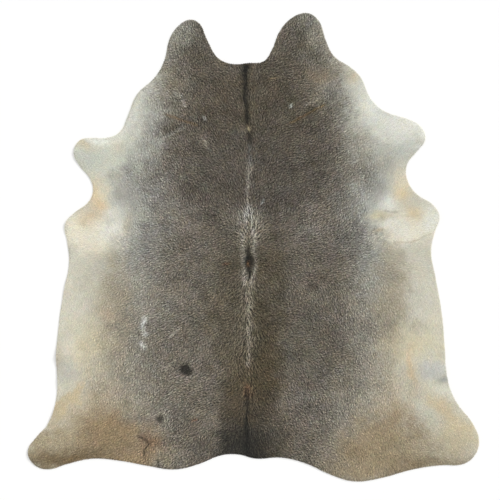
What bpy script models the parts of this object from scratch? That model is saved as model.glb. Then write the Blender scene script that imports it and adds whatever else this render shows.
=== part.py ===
# A whole cowhide rug, tanned with the hair on and laid out flat.
# Metres, +Z up, +Y towards the neck. The origin is on the floor under the middle of the hide's box.

from collections import namedtuple
from math import ceil, cos, floor, hypot, pi

import bmesh
import bpy

# Driving dimensions
HIDE_LENGTH = 2.155  # longer cheek to the lowest point of the rump
HIDE_WIDTH = 2.075  # tip to tip across the hind legs
SKIN_THICKNESS = 0.0025  # tanned skin
COAT_THICKNESS = 0.0025  # short hair lying flat on it

EDGE_STEPS = 4  # straight steps from one point of the edge to the next

# Surface cells: wide ones on the flat back, narrow ones where the skin ripples
BACK_CELL = 0.096
CELLS_ALONG_FOLD = 3  # narrow cells in a wide one, across the hide
CELLS_ACROSS_FOLD = 6  # the same, along the hide
SPOTS_PER_CELL = 8  # places looked at along each side of a wide cell to find its folds
SLIGHTEST_RISE = 0.0002  # a cell that rises less than this stays wide

# Colour and finish
COAT_COLOUR = (0.193, 0.176, 0.144, 1.0)
COAT_ROUGHNESS = 0.62

MM = 0.001
WELD_DISTANCE = 0.0001
CUT_TOLERANCE = 0.00001

# The edge of the hide, counter-clockwise seen from above. Each row is one stretch of it with the
# points where it turns: millimetres across (right of the middle) and along (towards the neck).
Stretch = namedtuple("Stretch", "name across_along")
EDGE = (
    Stretch("nape", ((45, 855), (-15, 850), (-100, 845))),
    Stretch("left cheek", ((-165, 875), (-215, 965), (-250, 1035), (-290, 1050), (-340, 1025), (-385, 960))),
    Stretch("left neck", ((-405, 870), (-450, 785), (-535, 705), (-575, 610), (-615, 530))),
    Stretch("left foreleg", ((-670, 505), (-740, 505), (-795, 495), (-825, 440), (-795, 370))),
    Stretch("left foreleg bay", ((-755, 325), (-735, 265), (-755, 210))),
    Stretch("left elbow", ((-820, 160), (-865, 105), (-855, 30))),
    Stretch("left flank", ((-845, -70), (-870, -200), (-895, -370), (-905, -510), (-900, -665))),
    Stretch("left hind leg", ((-940, -810), (-1000, -880), (-1035, -935), (-1015, -995), (-950, -1025))),
    Stretch("left rump", ((-855, -1000), (-740, -975), (-610, -985), (-475, -1010), (-360, -1025))),
    Stretch("tail edge", ((-250, -1000), (-150, -960), (-70, -955), (10, -975), (125, -970), (235, -995))),
    Stretch("right rump", ((345, -1045), (460, -1080), (585, -1065), (730, -1025), (865, -1005))),
    Stretch("right hind leg", ((965, -1000), (1020, -955), (1035, -890), (1005, -810), (935, -720))),
    Stretch("right flank", ((895, -625), (880, -495), (865, -305), (835, -135), (815, -10))),
    Stretch("right elbow", ((835, 75), (855, 145), (820, 200))),
    Stretch("right foreleg bay", ((755, 240), (710, 300), (705, 380))),
    Stretch("right foreleg", ((750, 440), (790, 500), (765, 560), (700, 595))),
    Stretch("right neck", ((605, 625), (535, 690), (495, 780), (445, 830))),
    Stretch("right cheek", ((370, 880), (330, 960), (300, 1045), (250, 1080), (180, 1060), (120, 995), (85, 910))),
)

# Soft ridges where the thin skin of the belly, elbows and legs doesn't lie quite flat, in
# millimetres. Each rises at its outer end, on the edge, and dies away at its inner end.
Fold = namedtuple("Fold", "name outer inner width height")
FOLDS = (
    Fold("left elbow", (-880, 115), (-660, 120), 120, 5),
    Fold("left flank, upper", (-880, -180), (-720, -170), 120, 3),
    Fold("left belly", (-910, -500), (-700, -430), 120, 7),
    Fold("left belly, lower", (-910, -620), (-730, -560), 100, 5),
    Fold("left hock", (-950, -790), (-740, -680), 110, 6),
    Fold("left hind leg", (-1040, -950), (-860, -900), 120, 4),
    Fold("left foreleg", (-840, 440), (-650, 420), 130, 4),
    Fold("right foreleg", (800, 500), (620, 510), 130, 4),
    Fold("right elbow", (870, 130), (650, 120), 120, 5),
    Fold("right elbow, lower", (840, 0), (690, -30), 90, 4),
    Fold("right belly, upper", (880, -360), (700, -350), 110, 4),
    Fold("right belly", (890, -470), (680, -455), 90, 6),
    Fold("right belly, lower", (900, -570), (690, -545), 110, 8),
    Fold("right hock", (960, -720), (760, -640), 120, 5),
    Fold("right hind leg", (1040, -880), (860, -860), 130, 4),
)


def clear_scene():
    for item in list(bpy.data.objects):
        bpy.data.objects.remove(item, do_unlink=True)


def coat_material():
    material = bpy.data.materials.new("short grey-brown coat")
    material.use_nodes = True
    shader = material.node_tree.nodes["Principled BSDF"]
    shader.inputs["Base Color"].default_value = COAT_COLOUR
    shader.inputs["Roughness"].default_value = COAT_ROUGHNESS
    shader.inputs["Metallic"].default_value = 0.0
    return material


def edge_curve():
    # One closed smooth curve through the turning points of the edge
    points = [point for stretch in EDGE for point in stretch.across_along]
    curve = bpy.data.curves.new("edge", "CURVE")
    curve.dimensions = "2D"
    curve.fill_mode = "BOTH"
    curve.resolution_u = EDGE_STEPS
    spline = curve.splines.new("BEZIER")
    spline.bezier_points.add(len(points) - 1)
    spline.use_cyclic_u = True
    for knot, (across, along) in zip(spline.bezier_points, points):
        knot.co = (across * MM, along * MM, 0.0)
        knot.handle_left_type = "AUTO"
        knot.handle_right_type = "AUTO"
    return bpy.data.objects.new("edge", curve)


def flat_sheet(outline):
    # The outline's filled face as one flat face, centred and scaled to the hide's length and width
    bpy.context.scene.collection.objects.link(outline)
    evaluated = outline.evaluated_get(bpy.context.evaluated_depsgraph_get())
    filled = bpy.data.meshes.new_from_object(evaluated)
    curve = outline.data
    bpy.data.objects.remove(outline, do_unlink=True)
    bpy.data.curves.remove(curve)

    sheet = bmesh.new()
    sheet.from_mesh(filled)
    bpy.data.meshes.remove(filled)
    bmesh.ops.remove_doubles(sheet, verts=sheet.verts, dist=WELD_DISTANCE)
    bmesh.ops.dissolve_faces(sheet, faces=sheet.faces[:])

    xs = [vert.co.x for vert in sheet.verts]
    ys = [vert.co.y for vert in sheet.verts]
    middle = ((min(xs) + max(xs)) / 2, (min(ys) + max(ys)) / 2)
    bmesh.ops.translate(sheet, verts=sheet.verts, vec=(-middle[0], -middle[1], 0.0))
    fit = (HIDE_WIDTH / (max(xs) - min(xs)), HIDE_LENGTH / (max(ys) - min(ys)), 1.0)
    bmesh.ops.scale(sheet, verts=sheet.verts, vec=fit)
    return sheet


def fold_place(fold, x, y):
    # Where a point lies on a fold: 0 to 1 from the outer end to the inner, and half-widths aside
    (outer_x, outer_y), (inner_x, inner_y) = fold.outer, fold.inner
    run_x = (inner_x - outer_x) * MM
    run_y = (inner_y - outer_y) * MM
    length = hypot(run_x, run_y)
    from_x = x - outer_x * MM
    from_y = y - outer_y * MM
    along = (from_x * run_x + from_y * run_y) / length ** 2
    aside = (from_x * run_y - from_y * run_x) / length / (fold.width * MM / 2)
    return along, aside


def rise(x, y):
    # Height of the skin over the floor
    height = 0.0
    for fold in FOLDS:
        along, aside = fold_place(fold, x, y)
        if along < 1.0 and abs(aside) < 1.0:
            fade = cos(max(along, 0.0) * pi / 2) ** 2
            height += fold.height * MM * fade * cos(aside * pi / 2) ** 2
    return height


def cell_of(x, y):
    return floor(x / BACK_CELL), floor(y / BACK_CELL)


def folded_cells():
    # The wide cells that a fold reaches into
    cells = set()
    columns = ceil(HIDE_WIDTH / 2 / BACK_CELL)
    rows = ceil(HIDE_LENGTH / 2 / BACK_CELL)
    shares = [step / SPOTS_PER_CELL for step in range(SPOTS_PER_CELL + 1)]
    for column in range(-columns, columns):
        for row in range(-rows, rows):
            spots = [((column + i) * BACK_CELL, (row + j) * BACK_CELL) for i in shares for j in shares]
            if any(rise(x, y) > SLIGHTEST_RISE for x, y in spots):
                cells.add((column, row))
    return cells


def cut_lines(sheet, spacing, axis, cells=None):
    # Parallel cuts at even spacing, over the whole sheet or only inside the given wide cells
    reach = ceil(max(HIDE_WIDTH, HIDE_LENGTH) / 2 / spacing)
    for step in range(-reach, reach + 1):
        faces = sheet.faces[:]
        if cells is not None:
            faces = [face for face in faces if cell_of(*face.calc_center_median().xy) in cells]
        edges = {edge for face in faces for edge in face.edges}
        verts = {vert for face in faces for vert in face.verts}
        place = [0.0, 0.0, 0.0]
        normal = [0.0, 0.0, 0.0]
        place[axis] = step * spacing
        normal[axis] = 1.0
        cut = faces + list(edges) + list(verts)
        bmesh.ops.bisect_plane(sheet, geom=cut, dist=CUT_TOLERANCE, plane_co=place, plane_no=normal)


def add_hide(collection):
    sheet = flat_sheet(edge_curve())
    cut_lines(sheet, BACK_CELL, axis=0)
    cut_lines(sheet, BACK_CELL, axis=1)
    cells = folded_cells()
    cut_lines(sheet, BACK_CELL / CELLS_ALONG_FOLD, axis=0, cells=cells)
    cut_lines(sheet, BACK_CELL / CELLS_ACROSS_FOLD, axis=1, cells=cells)
    bmesh.ops.triangulate(sheet, faces=sheet.faces[:])
    for vert in sheet.verts:
        vert.co.z = rise(vert.co.x, vert.co.y)
    bmesh.ops.recalc_face_normals(sheet, faces=sheet.faces[:])
    if sum(face.normal.z for face in sheet.faces) < 0:
        bmesh.ops.reverse_faces(sheet, faces=sheet.faces[:])

    mesh = bpy.data.meshes.new("hide")
    sheet.to_mesh(mesh)
    sheet.free()
    mesh.shade_smooth()
    mesh.materials.append(coat_material())
    hide = bpy.data.objects.new("hide", mesh)
    collection.objects.link(hide)

    # The sheet is the underside: skin and coat are built up from it
    thicken = hide.modifiers.new("skin and coat", "SOLIDIFY")
    thicken.thickness = SKIN_THICKNESS + COAT_THICKNESS
    thicken.offset = 1.0
    return hide


clear_scene()
cowhide = bpy.data.collections.new("cowhide")
bpy.context.scene.collection.children.link(cowhide)
add_hide(cowhide)
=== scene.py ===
import math
from collections import namedtuple

import bmesh
import bpy
import numpy as np
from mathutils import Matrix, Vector
from mathutils.bvhtree import BVHTree
from mathutils.geometry import delaunay_2d_cdt


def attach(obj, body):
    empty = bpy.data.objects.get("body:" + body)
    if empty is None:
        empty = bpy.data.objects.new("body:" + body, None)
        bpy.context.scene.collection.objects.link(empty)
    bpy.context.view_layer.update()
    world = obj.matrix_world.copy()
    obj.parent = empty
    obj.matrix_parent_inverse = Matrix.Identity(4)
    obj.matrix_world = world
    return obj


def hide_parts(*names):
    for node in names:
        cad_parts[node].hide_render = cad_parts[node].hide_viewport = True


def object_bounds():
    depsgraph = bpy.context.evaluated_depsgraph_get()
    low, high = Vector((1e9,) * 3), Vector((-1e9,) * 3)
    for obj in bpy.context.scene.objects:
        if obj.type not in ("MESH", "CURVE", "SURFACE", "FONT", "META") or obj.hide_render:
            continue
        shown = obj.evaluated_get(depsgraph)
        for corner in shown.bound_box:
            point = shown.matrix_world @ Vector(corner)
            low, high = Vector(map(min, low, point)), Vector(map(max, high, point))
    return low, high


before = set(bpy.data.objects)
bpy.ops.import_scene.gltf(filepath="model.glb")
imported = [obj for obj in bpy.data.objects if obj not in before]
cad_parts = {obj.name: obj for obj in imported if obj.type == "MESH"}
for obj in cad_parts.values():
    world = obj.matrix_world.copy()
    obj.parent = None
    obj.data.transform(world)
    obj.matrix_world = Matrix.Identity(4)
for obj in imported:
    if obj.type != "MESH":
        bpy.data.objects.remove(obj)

# A whole cowhide with the hair on, laid out flat and seen from above with the neck at the top.
# Metres everywhere, but the tables below are in millimetres: across is to the right of the
# middle of the hide, along is towards the neck.
mm = 0.001
cadLow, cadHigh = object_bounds()
print("frame loaded, hide is", [round(size, 3) for size in cadHigh - cadLow], "m")


# Noise and small helpers

halfFade = 0.7       # exp(-0.7) is a half
noiseSpan = 2.8      # the ground that the noise covers, in metres
noiseReach = 1.35    # and how far left of the middle and below it that starts
hillGain = 1.6       # blending evens the hills out, and this brings their spread back to 1
hillSizes = ((1, 1), (0.47, 0.6), (0.21, 0.35))    # size and height of the hills on hills
hillSpread = 1.22    # of the three together
spareCells = 4       # the grid of a noise is this much larger than its ground


def smooth(low, high, value):
    t = np.clip((value - low) / (high - low), 0, 1)
    return t * t * (3 - 2 * t)


def between(grid, u, v, shareU, shareV):
    # the value of a grid past its corners u and v by a share of a cell each way
    low = grid[u, v] * (1 - shareU) + grid[u + 1, v] * shareU
    high = grid[u, v + 1] * (1 - shareU) + grid[u + 1, v + 1] * shareU
    return low * (1 - shareV) + high * shareV


def softHills(x, y, cell, seed):
    # smooth random hills about one cell wide, mean 0 and spread about 1
    count = int(noiseSpan / cell) + spareCells
    lattice = np.random.default_rng(seed).normal(size=(count, count))
    u, v = (x + noiseReach) / cell, (y + noiseReach) / cell
    i, j = u.astype(int), v.astype(int)
    return between(lattice, i, j, smooth(0, 1, u - i), smooth(0, 1, v - j)) * hillGain


def mottle(x, y, cell, seed):
    # hills on hills, three sizes of them
    hills = [height * softHills(x, y, cell * size, seed + k) for k, (size, height) in enumerate(hillSizes)]
    return sum(hills) / hillSpread


def linear(red, green, blue):
    # a colour as a paint chart gives it, 0 to 255, in the units that light adds up in
    part = np.array([red, green, blue]) / 255
    return np.where(part <= 0.04045, part / 12.92, ((part + 0.055) / 1.055) ** 2.4)


def opaque(colour):
    return (*linear(*colour), 1)


# The coat's colours
#
# Every lock of hair is dark or pale. share says how many of the locks are pale at a place, and
# the two kinds have colours of their own, which change slowly over the hide. What is painted
# over both kinds comes last.

palette = {
    "taupe": (107, 101, 90),
    "taupePale": (118, 111, 101),
    "neckBrown": (88, 81, 69),
    "withers": (89, 83, 74),
    "smoke": (100, 97, 91),
    "smokeBrown": (90, 85, 74),
    "steelDark": (104, 101, 95),
    "steel": (142, 140, 134),
    "frost": (198, 201, 194),
    "umberGrey": (84, 77, 63),
    "saddleBrown": (85, 78, 63),
    "saddleDark": (75, 68, 52),
    "charcoal": (56, 54, 47),
    "blackBrown": (38, 36, 31),
    "tailBlack": (32, 31, 26),
    "black": (20, 20, 16),
    "umberDark": (64, 56, 43),
    "loinBrown": (73, 64, 46),
    "blueGrey": (88, 92, 94),
    "rust": (122, 72, 42),
    "rustBrown": (112, 84, 58),
    "scarBrown": (114, 90, 58),
    "silver": (168, 163, 150),
    "parting": (140, 133, 118),
    "chalk": (233, 233, 224),
    "whiteBlue": (224, 226, 219),
    "ivory": (224, 219, 202),
    "ivoryPale": (233, 228, 212),
    "milk": (212, 213, 203),
    "cream": (204, 201, 186),
    "paleGreen": (203, 205, 191),
    "stone": (192, 194, 185),
    "straw": (206, 197, 168),
    "wheat": (207, 197, 168),
    "putty": (188, 185, 169),
    "lichen": (136, 135, 125),
    "sand": (204, 186, 152),
    "tan": (214, 198, 165),
    "apricot": (214, 196, 158),
    "blush": (206, 180, 156),
    "beige": (178, 167, 142),
    "slate": (180, 184, 184),
    "dove": (182, 182, 172),
    "buff": (200, 184, 150),
    "bone": (189, 183, 165),
    "legTan": (165, 153, 127),
    "ash": (150, 153, 151),
    "haunch": (139, 122, 94),
    "haunchTan": (149, 134, 106),
    "haunchWarm": (158, 134, 99),
    "haunchPale": (157, 144, 116),
    "haunchDark": (110, 93, 66),
    "greige": (134, 127, 112),
    "oat": (177, 169, 147),
    "drab": (128, 115, 89),
}

# Where the dark back turns pale at each side. left and right are the lines on which the grey is
# half way, and out and in are how far the change goes on from there, to the belly and the back.
Turn = namedtuple("Turn", "along left leftOut leftIn right rightIn rightOut")
saddle = (
    Turn(1045, -370, 90, 90, 300, 100, 90),
    Turn(905, -400, 60, 95, 338, 100, 70),
    Turn(790, -420, 65, 130, 365, 160, 85),
    Turn(675, -412, 100, 115, 378, 130, 75),
    Turn(560, -440, 105, 95, 419, 80, 95),
    Turn(445, -433, 145, 90, 433, 80, 190),
    Turn(385, -494, 90, 190, 473, 115, 150),
    Turn(330, -520, 120, 190, 504, 150, 110),
    Turn(215, -480, 125, 180, 464, 150, 90),
    Turn(150, -470, 112, 190, 477, 170, 70),
    Turn(80, -496, 100, 200, 538, 150, 62),
    Turn(35, -516, 110, 215, 543, 120, 72),
    Turn(-60, -537, 160, 180, 515, 110, 185),
    Turn(-150, -517, 220, 190, 510, 105, 215),
    Turn(-245, -522, 215, 210, 525, 110, 205),
    Turn(-360, -590, 180, 235, 570, 180, 165),
    Turn(-475, -575, 170, 200, 535, 140, 145),
    Turn(-590, -600, 190, 240, 525, 170, 210),
    Turn(-705, -560, 290, 240, 490, 255, 260),
    Turn(-820, -575, 275, 260, 455, 170, 330),
    Turn(-935, -640, 275, 260, 420, 170, 360),
    Turn(-1050, -640, 275, 260, 420, 170, 360),
)

# Soft patches. across and along are the middle, wide and long how far out a patch is at half
# strength, turn its angle in degrees, and crisp how sharply it ends, from 1 for a blur.
Patch = namedtuple("Patch", "name across along wide long colour amount turn crisp", defaults=(0, 1))
darkHair = (
    Patch("neck", -15, 630, 285, 285, "neckBrown", 1.0, crisp=2),
    Patch("withers", -15, 345, 300, 185, "withers", 1.0, crisp=2),
    Patch("nape, middle", -28, 835, 28, 40, "umberGrey", 0.6),
    Patch("left cheek, outer", -325, 985, 60, 75, "lichen", 0.95, crisp=1.5),
    Patch("left cheek", -245, 890, 45, 90, "smokeBrown", 0.7),
    Patch("left cheek, spot", -314, 900, 30, 28, "smokeBrown", 0.8),
    Patch("right cheek", 220, 920, 55, 100, "smokeBrown", 0.6),
    Patch("right cheek, outer", 275, 960, 40, 60, "smokeBrown", 0.5),
    Patch("right cheek, tip", 255, 1045, 70, 42, "lichen", 0.6),
    Patch("left neck, dark", -378, 560, 36, 105, "umberGrey", 0.75, crisp=1.5),
    Patch("left shoulder", -190, 240, 120, 155, "withers", 0.7, turn=10),
    Patch("right shoulder", 160, 235, 110, 155, "withers", 0.8, turn=-8),
    Patch("right shoulder blade", 315, 445, 85, 140, "withers", 0.45),
    Patch("left of the withers", -350, 115, 100, 80, "taupePale", 0.8),
    Patch("right of the withers", 290, 100, 115, 100, "taupePale", 1.0, crisp=2),
    Patch("left shoulder, cool", -500, 170, 120, 230, "steelDark", 0.9, crisp=2),
    Patch("right shoulder, cool", 480, 110, 110, 160, "steelDark", 0.8, crisp=2),
    Patch("left of the whorl", -112, -92, 88, 92, "umberGrey", 0.9),
    Patch("right of the whorl", 78, -85, 60, 115, "umberGrey", 0.95),
    Patch("left of the spine", -105, -380, 90, 275, "saddleBrown", 0.9, crisp=2),
    Patch("right of the spine", 65, -380, 85, 285, "saddleBrown", 0.8, crisp=2),
    Patch("close to the spine", 35, -440, 40, 240, "saddleDark", 0.75, crisp=2),
    Patch("spine, right side", 72, -490, 34, 95, "loinBrown", 0.85),
    Patch("right loin", 240, -430, 65, 150, "smokeBrown", 0.75),
    Patch("left loin", -268, -400, 45, 90, "smokeBrown", 0.5),
    Patch("loin", -10, -650, 140, 125, "loinBrown", 0.9, crisp=1.5),
    Patch("left of the tail", -150, -870, 80, 80, "umberGrey", 0.4),
    Patch("tail, upper", -25, -790, 80, 60, "umberDark", 0.9, crisp=1.5),
    Patch("left of the tail line, upper", -105, -735, 45, 62, "umberDark", 0.75, crisp=1.5),
    Patch("right of the tail line, upper", 62, -715, 80, 60, "umberDark", 0.35),
    Patch("tail", -24, -940, 145, 122, "tailBlack", 0.97, crisp=2),
    Patch("left of the tail line", -108, -870, 44, 72, "blackBrown", 0.75, crisp=1.5),
    Patch("right of the tail", 130, -915, 70, 80, "umberGrey", 0.5),
    Patch("left of the tail, outer", -265, -930, 50, 45, "charcoal", 0.4),
    Patch("left rump, pale", -220, -610, 60, 65, "taupePale", 0.75),
    Patch("right rump, pale", 198, -700, 44, 85, "taupePale", 0.85),
    Patch("right of the withers, pale", 250, 65, 42, 42, "steel", 0.4),
    Patch("right of the nape", 150, 663, 36, 40, "blackBrown", 0.3),
)
paleHair = (
    Patch("left shoulder, cool", -560, 180, 130, 240, "frost", 0.65, crisp=2),
    Patch("right shoulder, cool", 530, 190, 110, 170, "frost", 0.8, crisp=2),
    Patch("left neck, cool", -470, 560, 80, 160, "frost", 0.7),
    Patch("right neck, cool", 440, 700, 80, 100, "frost", 0.7),
    Patch("right shoulder blade, cool", 520, 480, 80, 120, "frost", 0.5),
    Patch("left flank, cool", -560, -60, 90, 110, "frost", 0.8),
    Patch("right flank, cool", 520, -60, 70, 140, "frost", 0.7),
    Patch("left foreleg", -705, 425, 145, 100, "paleGreen", 1.0, crisp=2),
    Patch("left foreleg, middle", -740, 400, 75, 45, "stone", 0.6, turn=20),
    Patch("left foreleg, top", -700, 495, 80, 22, "chalk", 0.7),
    Patch("left foreleg, corner", -785, 470, 42, 20, "sand", 0.5, turn=-20),
    Patch("left foreleg, inner", -620, 470, 35, 30, "sand", 0.25),
    Patch("left foreleg, corner at the neck", -600, 535, 28, 34, "chalk", 0.7),
    Patch("left of the neck", -530, 620, 50, 120, "milk", 0.9, turn=-20),
    Patch("right of the neck", 520, 700, 40, 100, "milk", 0.9, turn=15),
    Patch("right foreleg", 705, 525, 120, 65, "chalk", 0.95, turn=-10, crisp=2),
    Patch("right foreleg, top", 660, 590, 120, 30, "chalk", 0.6, turn=-8),
    Patch("right neck, blue", 545, 652, 38, 42, "whiteBlue", 0.8),
    Patch("right foreleg, lower side", 658, 455, 85, 58, "stone", 0.85, turn=-10),
    Patch("left elbow", -720, 50, 150, 60, "ivory", 0.95, crisp=2),
    Patch("left elbow, tip", -818, 98, 50, 42, "ivoryPale", 0.7),
    Patch("left elbow, white", -645, 72, 62, 46, "whiteBlue", 0.6),
    Patch("left elbow, white, upper", -655, 165, 30, 30, "chalk", 0.5),
    Patch("left elbow, inner", -575, 100, 16, 50, "sand", 0.35, turn=-15),
    Patch("left bay", -715, 235, 36, 66, "tan", 0.85, turn=5),
    Patch("left bay, middle", -702, 198, 23, 23, "apricot", 0.8),
    Patch("left elbow, top", -752, 136, 42, 36, "sand", 0.65),
    Patch("right bay", 680, 258, 31, 47, "tan", 0.85),
    Patch("right bay, middle", 679, 238, 28, 17, "apricot", 0.85, turn=10),
    Patch("right elbow", 705, 85, 130, 60, "ivoryPale", 0.95, crisp=2),
    Patch("right elbow, tip", 805, 130, 50, 50, "chalk", 0.8),
    Patch("right elbow, white", 620, 210, 35, 40, "chalk", 0.8, turn=30),
    Patch("right elbow, white, lower", 645, 95, 50, 38, "whiteBlue", 0.7),
    Patch("right elbow, top", 738, 160, 36, 32, "tan", 0.75),
    Patch("right elbow, inner", 578, 147, 46, 19, "straw", 0.85, turn=8),
    Patch("right elbow, streak", 578, 79, 22, 9, "sand", 0.7, turn=10),
    Patch("left flank, top", -680, -40, 60, 30, "bone", 0.6),
    Patch("left flank, middle", -760, -150, 60, 120, "putty", 0.65, crisp=1.5),
    Patch("left flank, inner", -635, -300, 80, 250, "beige", 0.75, crisp=2),
    Patch("left flank, low", -735, -435, 75, 100, "straw", 0.8),
    Patch("left flank, blush", -670, -310, 25, 25, "blush", 0.5),
    Patch("left belly", -862, -572, 60, 42, "dove", 0.95, crisp=1.5),
    Patch("left hock", -815, -750, 120, 60, "sand", 0.35),
    Patch("left hock, pale streak", -795, -722, 24, 95, "bone", 0.8, turn=-42, crisp=1.5),
    Patch("left hock, band", -850, -702, 18, 140, "buff", 0.8, turn=-38, crisp=1.5),
    Patch("left rump", -670, -715, 120, 110, "sand", 0.55),
    Patch("right rump", 625, -755, 100, 120, "sand", 0.65),
    Patch("right flank, inner", 640, -265, 70, 280, "beige", 0.7, crisp=2),
    Patch("right flank, low", 720, -450, 130, 75, "straw", 0.7),
    Patch("right belly, edge", 730, -565, 14, 85, "sand", 0.8),
    # painted light and shade of a fold on the right belly: greyer on its slope, darkest in the dip, and a
    # painted highlight below it
    Patch("right belly", 815, -570, 60, 35, "slate", 0.55, crisp=2),
    Patch("right belly, dip shade", 875, -610, 25, 14, "ash", 0.8, turn=10),
    Patch("right belly, highlight below the dip", 870, -660, 38, 20, "milk", 0.7, turn=10),
    Patch("right hind leg", 940, -870, 100, 80, "wheat", 0.95, crisp=1.5),
    Patch("right hock", 862, -742, 36, 100, "buff", 0.8, turn=45),
    Patch("right hock, inner", 785, -750, 28, 85, "paleGreen", 0.6, turn=35),
)
bothHairs = (
    Patch("left shoulder, grey", -580, 245, 50, 48, "steel", 0.6),
    Patch("left shoulder, streak", -505, 188, 32, 45, "frost", 0.28),
    Patch("left bay, light", -688, 245, 28, 40, "ivory", 0.4),
    Patch("right shoulder, grey", 576, 254, 48, 44, "steel", 0.57),
    Patch("right bay, grey", 617, 355, 34, 36, "steel", 0.3),
    Patch("right bay, light", 686, 300, 30, 52, "ivory", 0.5),
    Patch("right elbow, grey", 542, 108, 30, 28, "steel", 0.35),
    Patch("left neck, grey", -480, 590, 34, 36, "steel", 0.3),
    Patch("right neck, silver", 355, 708, 30, 36, "steel", 0.4),
    Patch("left flank, brown", -457, -206, 38, 42, "taupe", 0.35),
    # painted shade of a fold and its shadow at the left belly's edge
    Patch("left belly, edge shade", -897, -500, 26, 55, "beige", 0.5),
    Patch("left hock, edge", -922, -778, 36, 36, "legTan", 0.45),
    Patch("left rump, oat", -588, -718, 46, 36, "oat", 0.35),
    Patch("left haunch, inner", -390, -955, 90, 60, "greige", 0.7),
    Patch("left haunch", -680, -872, 192, 130, "haunch", 0.92, crisp=2),
    Patch("left haunch, warm", -700, -860, 130, 65, "haunchWarm", 0.3),
    Patch("left haunch, lower edge", -590, -975, 120, 26, "haunch", 0.7),
    Patch("left hind leg", -930, -925, 130, 80, "haunchPale", 0.8, crisp=2),
    # darker towards the bottom edge: partly the leg's own colour, partly painted shadow and shade along the
    # edge
    Patch("left hind foot", -955, -975, 100, 60, "drab", 0.95),
    Patch("left hind leg, lower edge", -825, -970, 140, 32, "haunchDark", 0.95, turn=3),
    Patch("left hind leg, upper side", -890, -858, 95, 42, "legTan", 0.85, turn=25, crisp=1.5),
    Patch("left haunch, rust", -462, -900, 46, 30, "rustBrown", 0.6),
    Patch("left haunch, beside the crack", -506, -962, 42, 40, "haunchWarm", 0.45),
    Patch("right haunch", 625, -920, 205, 138, "haunchTan", 0.92, crisp=2),
    Patch("right haunch, dark", 655, -780, 60, 38, "haunch", 0.5, turn=25),
    Patch("right haunch, dark, inner", 450, -925, 45, 45, "haunch", 0.4),
    Patch("right haunch, low", 800, -975, 130, 60, "haunchPale", 0.8),
    Patch("right hind leg, low", 900, -945, 110, 50, "oat", 0.7),
    Patch("right haunch, inner", 440, -950, 60, 45, "haunch", 0.5),
    Patch("right hind foot", 905, -992, 120, 26, "drab", 0.6),
    Patch("right rump, lower edge", 465, -1035, 110, 40, "haunchTan", 0.8),
    Patch("right haunch, lower edge", 745, -990, 80, 22, "haunchDark", 0.45),
    Patch("right haunch, inner lower edge", 640, -1034, 70, 22, "haunchDark", 0.45),
    Patch("dark spot", -313, -566, 28, 26, "blackBrown", 0.97, crisp=3),
    Patch("small spot, left", -430, -790, 17, 17, "charcoal", 0.9, crisp=2),
    Patch("small spot, right", 260, -735, 8, 6, "blackBrown", 0.8, crisp=2),
    Patch("small spot, far right", 295, -735, 8, 6, "blackBrown", 0.7, crisp=2),
    Patch("spindle", -21, -64, 15, 32, "black", 1.0, crisp=3),
    Patch("star", -8, 100, 58, 62, "silver", 0.15, crisp=2),
    Patch("star, upper", -22, 150, 56, 34, "silver", 0.28),
    Patch("left neck", -375, 750, 35, 18, "haunch", 0.3),
    Patch("right neck, grey", 399, 615, 26, 26, "smoke", 0.35),
    Patch("right neck", 315, 785, 55, 35, "haunch", 0.45),
    Patch("right neck, corner", 460, 785, 25, 30, "sand", 0.5),
    Patch("spot on the withers", 275, 385, 14, 12, "umberGrey", 0.8),
)

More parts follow.
